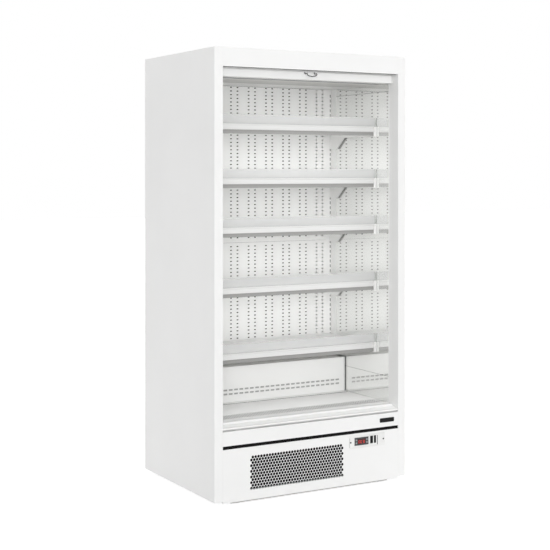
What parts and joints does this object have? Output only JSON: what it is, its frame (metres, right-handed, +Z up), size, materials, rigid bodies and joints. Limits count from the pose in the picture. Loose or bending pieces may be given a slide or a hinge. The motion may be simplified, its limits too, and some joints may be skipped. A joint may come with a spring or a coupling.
{
  "type": "open multideck display fridge",
  "caption": "Open-front refrigerated display cabinet with hung shelves, clear risers, perforated service panel and pull-down night blind.",
  "frame": {"origin": "middle of the overall box at floor level", "axes": "+Z up, -Y out of the open front, +X to the right seen from the front"},
  "size_m": [1, 0.7285, 1.973],
  "materials": {
    "white_sheet": "smooth white powder coat",
    "grey_sheet": "light grey powder coat",
    "black_sheet": "black powder coat",
    "mirror_steel": "polished lining sheet",
    "galvanised": "galvanised sheet",
    "rail_aluminium": "satin anodised extrusion",
    "riser_glass": "clear toughened glass",
    "lamp_plastic": "opal diffuser",
    "white_plastic": "satin moulding",
    "grey_plastic": "satin moulding",
    "black_plastic": "glossy black moulding",
    "display_red": "dark red display window",
    "blind_fabric": "woven aluminised polyester",
    "coil_aluminium": "plate fins",
    "black_fins": "black coated plate fins",
    "black_iron": "black enamelled shell",
    "seal_rubber": "black extruded strip",
    "chrome_wire": "bright plated wire"
  },
  "bodies": {
    "cabinet": {"side_panel_left": "white_sheet", "side_panel_right": "white_sheet", "side_mirrors": "mirror_steel", "rear_wall": "white_sheet", "roof_panel": "white_sheet", "insulated_floor": "white_sheet", "top_fascia": "white_sheet", "blind_cassette": "white_sheet", "blind_cloth": "blind_fabric", "ceiling_front": "white_sheet", "ceiling_rear": "white_sheet", "lamp_body": "rail_aluminium", "lamp_diffuser": "lamp_plastic", "air_honeycomb": "grey_plastic", "uprights": "white_sheet", "back_panel_lower": "white_sheet", "back_panel_upper": "white_sheet", "shelf_tray_1": "white_sheet", "shelf_tray_2": "white_sheet", "shelf_tray_3": "white_sheet", "shelf_tray_4": "white_sheet", "shelf_tray_5": "white_sheet", "shelf_brackets": "white_sheet", "ticket_rails": "rail_aluminium", "glass_risers": "riser_glass", "fan_cover": "white_sheet", "evaporator_fan_plate": "galvanised", "evaporator_fan_frames": "black_plastic", "evaporator_coil": "coil_aluminium", "deck_panel": "white_sheet", "return_grille": "white_sheet", "front_ledge": "white_sheet", "sill_fascia": "white_sheet", "shadow_seal": "seal_rubber", "service_panel": "white_sheet", "control_plate": "white_plastic", "controller_housing": "black_plastic", "display_window": "display_red", "switch_frames": "black_plastic", "base_tray": "galvanised", "plinth_rails": "grey_sheet", "levelling_feet": "galvanised", "condenser_coil": "black_fins", "condenser_shroud": "black_sheet", "compressor": "black_iron", "drain_pan": "galvanised", "service_rear_panel": "galvanised", "mains_gland": "black_plastic"},
    "blind": {"blind_bottom_rail": "rail_aluminium", "pull_handle": "chrome_wire"},
    "blind_tube": {"blind_roller": "galvanised"},
    "evaporator_fan_1": {"evaporator_fan_1": "black_plastic"},
    "evaporator_fan_2": {"evaporator_fan_2": "black_plastic"},
    "condenser_fan": {"condenser_fan": "black_plastic"},
    "rocker_power": {"rocker_power": "black_plastic"},
    "rocker_light": {"rocker_light": "black_plastic"},
    "button_set": {"button_set": "grey_plastic"},
    "button_defrost": {"button_defrost": "grey_plastic"},
    "button_up": {"button_up": "grey_plastic"},
    "button_down": {"button_down": "grey_plastic"}
  },
  "joints": [
    {"name": "blind_pull", "type": "slide", "parent": "cabinet", "child": "blind", "axis": [0, 0, -1], "range_m": [0, 1.49], "stiffness_N_per_m": 15, "springref_m": -1, "deforming": ["blind_cloth"]},
    {"name": "blind_roll", "type": "hinge", "parent": "cabinet", "child": "blind_tube", "pos_m": [0, -0.29445, 1.914], "axis": [1, 0, 0], "continuous": true},
    {"name": "evaporator_fan_1_spin", "type": "hinge", "parent": "cabinet", "child": "evaporator_fan_1", "pos_m": [-0.16, 0.13825, 0.414], "axis": [0, 1, 0], "continuous": true},
    {"name": "evaporator_fan_2_spin", "type": "hinge", "parent": "cabinet", "child": "evaporator_fan_2", "pos_m": [0.16, 0.13825, 0.414], "axis": [0, 1, 0], "continuous": true},
    {"name": "condenser_fan_spin", "type": "hinge", "parent": "cabinet", "child": "condenser_fan", "pos_m": [-0.085, -0.25175, 0.11375], "axis": [0, 1, 0], "continuous": true},
    {"name": "rocker_power_rock", "type": "hinge", "parent": "cabinet", "child": "rocker_power", "pos_m": [0.3105, -0.35775, 0.206], "axis": [1, 0, 0], "range_deg": [0, 10]},
    {"name": "rocker_light_rock", "type": "hinge", "parent": "cabinet", "child": "rocker_light", "pos_m": [0.3295, -0.35775, 0.206], "axis": [1, 0, 0], "range_deg": [0, 10]},
    {"name": "button_set_press", "type": "slide", "parent": "cabinet", "child": "button_set", "axis": [0, 1, 0], "range_m": [0, 0.0008], "stiffness_N_per_m": 800, "springref_m": -0.0005},
    {"name": "button_defrost_press", "type": "slide", "parent": "cabinet", "child": "button_defrost", "axis": [0, 1, 0], "range_m": [0, 0.0008], "stiffness_N_per_m": 800, "springref_m": -0.0005},
    {"name": "button_up_press", "type": "slide", "parent": "cabinet", "child": "button_up", "axis": [0, 1, 0], "range_m": [0, 0.0008], "stiffness_N_per_m": 800, "springref_m": -0.0005},
    {"name": "button_down_press", "type": "slide", "parent": "cabinet", "child": "button_down", "axis": [0, 1, 0], "range_m": [0, 0.0008], "stiffness_N_per_m": 800, "springref_m": -0.0005}
  ],
  "couplings": [
    {"joint": "blind_roll", "follows": "blind_pull", "rad_per_m": 46.948}
  ]
}
